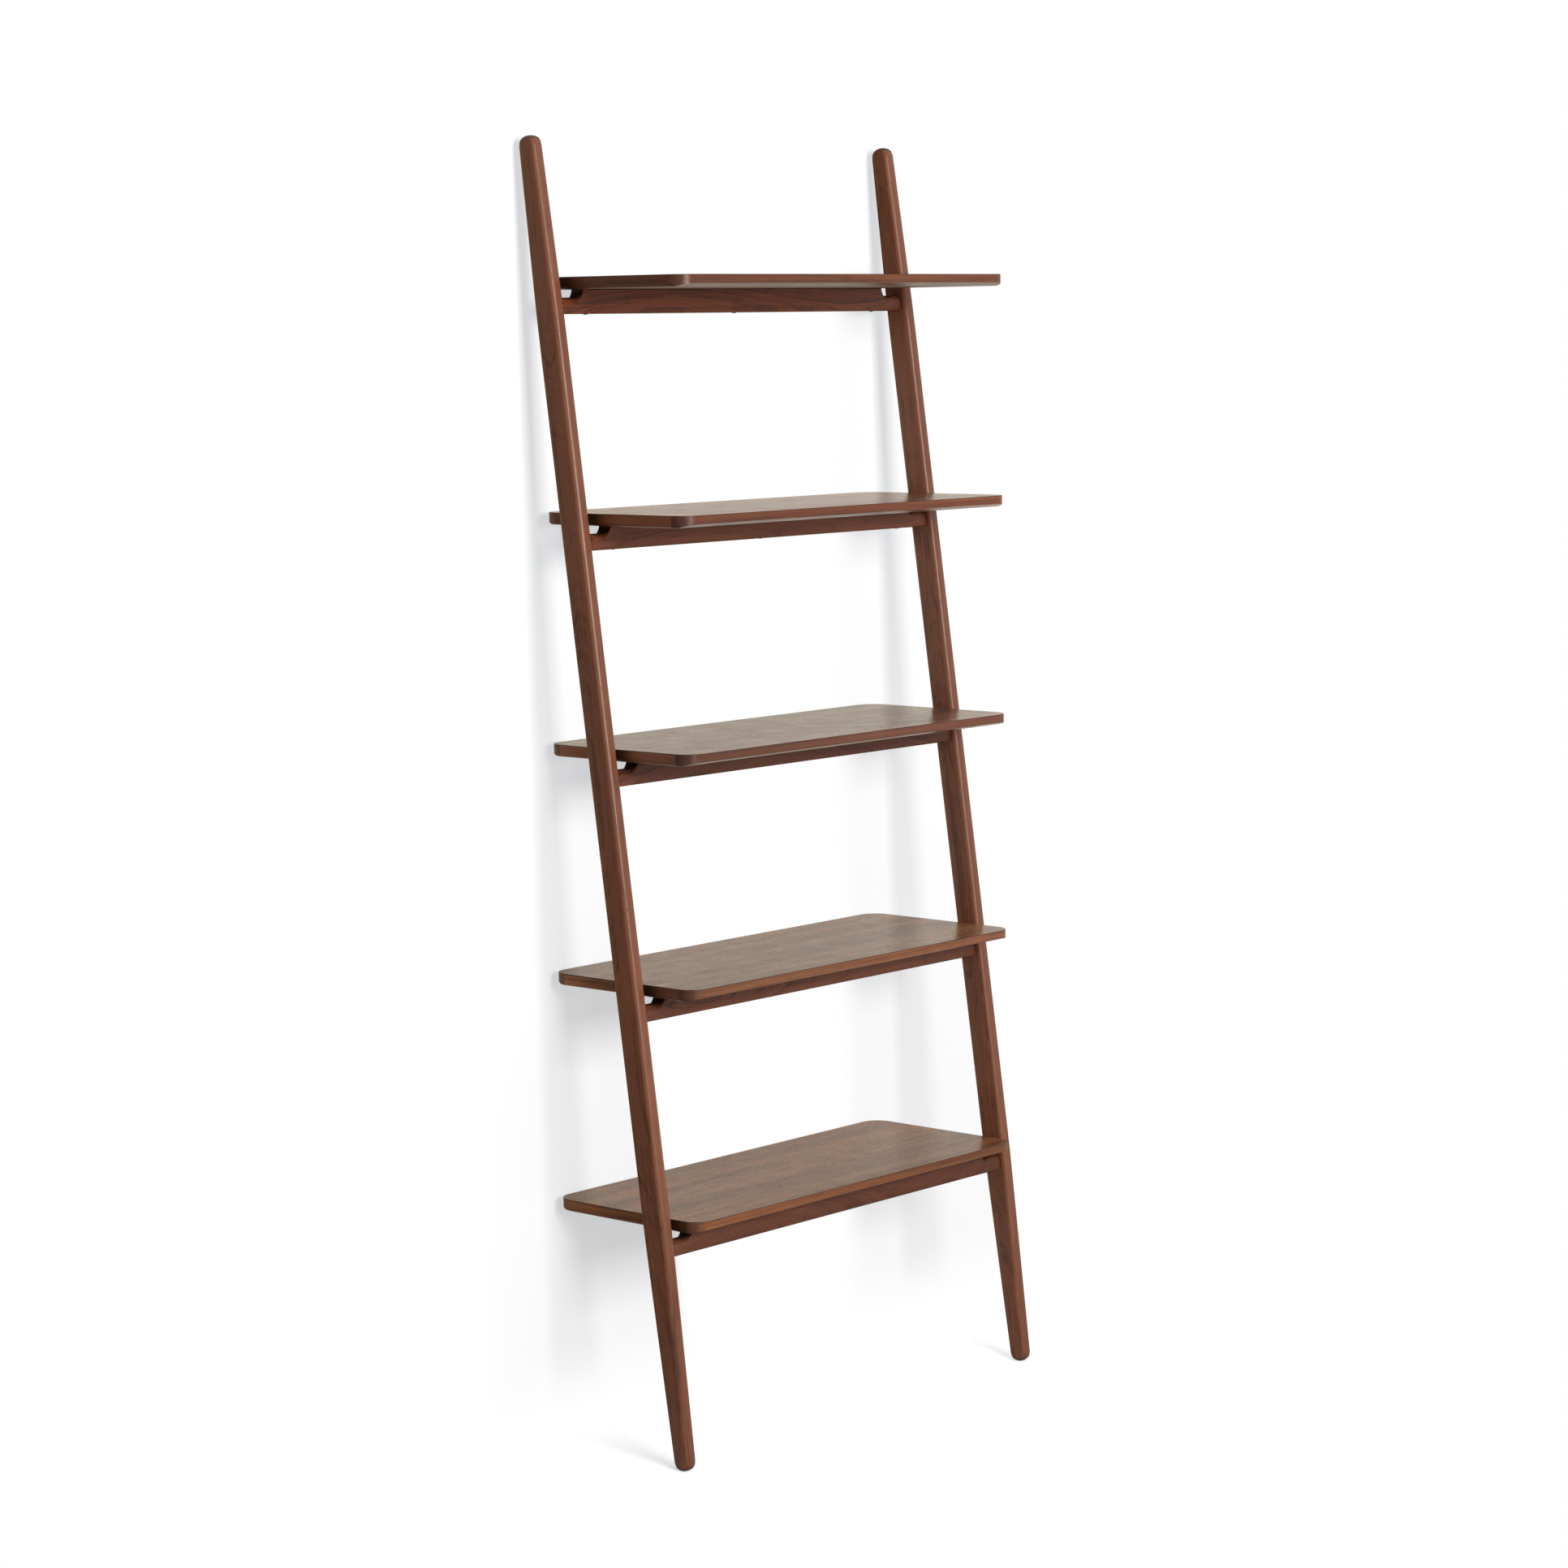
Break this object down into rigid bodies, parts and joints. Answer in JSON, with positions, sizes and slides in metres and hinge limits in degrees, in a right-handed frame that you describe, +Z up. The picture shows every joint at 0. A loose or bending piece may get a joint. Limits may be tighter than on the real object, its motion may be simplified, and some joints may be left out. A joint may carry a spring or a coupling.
{
  "type": "ladder shelf",
  "caption": "Tall open shelf that leans on a wall: two slim tapered stiles lean back, round-ended rails join them like rungs, and each carries a level board of one size.",
  "frame": {"origin": "on the floor, midway between the stiles, in the upright plane shared by the back edges of the shelves and the wall plates, which is the face of the wall", "axes": "+Z up, +Y into the wall, +X to the right for someone who faces the wall; metres"},
  "size_m": [0.84, 0.3049, 1.9999],
  "materials": {
    "stile_walnut": "solid walnut with grain along the stile, satin oil",
    "rail_walnut": "solid walnut with grain along the rail, satin oil",
    "lipping_walnut": "solid walnut edge, satin oil",
    "veneer_walnut": "walnut veneer with grain along the shelf, satin lacquer",
    "board_core": "veneered board, plain satin underside",
    "dark_screw_steel": "black zinc, satin",
    "bracket_steel": "bright zinc, satin"
  },
  "bodies": {
    "root": {"left_stile": "stile_walnut", "right_stile": "stile_walnut", "shelf_1_core": "board_core", "shelf_1_top_veneer": "veneer_walnut", "shelf_1_front_lipping": "lipping_walnut", "shelf_1_back_lipping": "lipping_walnut", "shelf_1_left_lipping": "lipping_walnut", "shelf_1_right_lipping": "lipping_walnut", "rail_1": "rail_walnut", "rail_1_left_screw": "dark_screw_steel", "rail_1_middle_screw": "dark_screw_steel", "rail_1_right_screw": "dark_screw_steel", "shelf_2_core": "board_core", "shelf_2_top_veneer": "veneer_walnut", "shelf_2_front_lipping": "lipping_walnut", "shelf_2_back_lipping": "lipping_walnut", "shelf_2_left_lipping": "lipping_walnut", "shelf_2_right_lipping": "lipping_walnut", "rail_2": "rail_walnut", "rail_2_left_screw": "dark_screw_steel", "rail_2_middle_screw": "dark_screw_steel", "rail_2_right_screw": "dark_screw_steel", "shelf_3_core": "board_core", "shelf_3_top_veneer": "veneer_walnut", "shelf_3_front_lipping": "lipping_walnut", "shelf_3_back_lipping": "lipping_walnut", "shelf_3_left_lipping": "lipping_walnut", "shelf_3_right_lipping": "lipping_walnut", "rail_3": "rail_walnut", "rail_3_left_screw": "dark_screw_steel", "rail_3_middle_screw": "dark_screw_steel", "rail_3_right_screw": "dark_screw_steel", "shelf_4_core": "board_core", "shelf_4_top_veneer": "veneer_walnut", "shelf_4_front_lipping": "lipping_walnut", "shelf_4_back_lipping": "lipping_walnut", "shelf_4_left_lipping": "lipping_walnut", "shelf_4_right_lipping": "lipping_walnut", "rail_4": "rail_walnut", "rail_4_left_screw": "dark_screw_steel", "rail_4_middle_screw": "dark_screw_steel", "rail_4_right_screw": "dark_screw_steel", "shelf_5_core": "board_core", "shelf_5_top_veneer": "veneer_walnut", "shelf_5_front_lipping": "lipping_walnut", "shelf_5_back_lipping": "lipping_walnut", "shelf_5_left_lipping": "lipping_walnut", "shelf_5_right_lipping": "lipping_walnut", "rail_5": "rail_walnut", "rail_5_left_screw": "dark_screw_steel", "rail_5_middle_screw": "dark_screw_steel", "rail_5_right_screw": "dark_screw_steel", "left_wall_bracket": "bracket_steel", "left_wall_bracket_screw_1": "dark_screw_steel", "left_wall_bracket_screw_2": "dark_screw_steel", "right_wall_bracket": "bracket_steel", "right_wall_bracket_screw_1": "dark_screw_steel", "right_wall_bracket_screw_2": "dark_screw_steel"}
  },
  "joints": []
}
